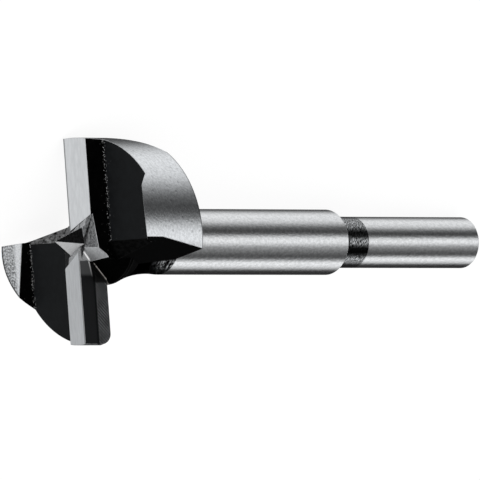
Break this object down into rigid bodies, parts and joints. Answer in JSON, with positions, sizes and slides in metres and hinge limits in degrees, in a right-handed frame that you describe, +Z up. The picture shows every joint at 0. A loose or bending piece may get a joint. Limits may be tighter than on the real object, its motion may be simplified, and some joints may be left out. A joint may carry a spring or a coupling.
{
  "type": "forstner bit",
  "caption": "Forstner drill bit with a ground cutting head, rim spurs and a centre point, on a turned body with a plain round shank, lying at rest.",
  "frame": {"origin": "on the floor under the middle of the bounding box", "axes": "+X along the length from the centre point to the shank end, seen from above; +Z up from the floor. The bit lies with one chip flute down, so its axis drops about 6 degrees towards the shank"},
  "size_m": [0.0898, 0.032, 0.0262],
  "materials": {
    "steel": "ground bright on the lands, rim, body and shank, black in the pockets and flutes and on the shank beside the shoulder"
  },
  "bodies": {
    "root": {"forstner_bit": "steel"}
  },
  "joints": []
}
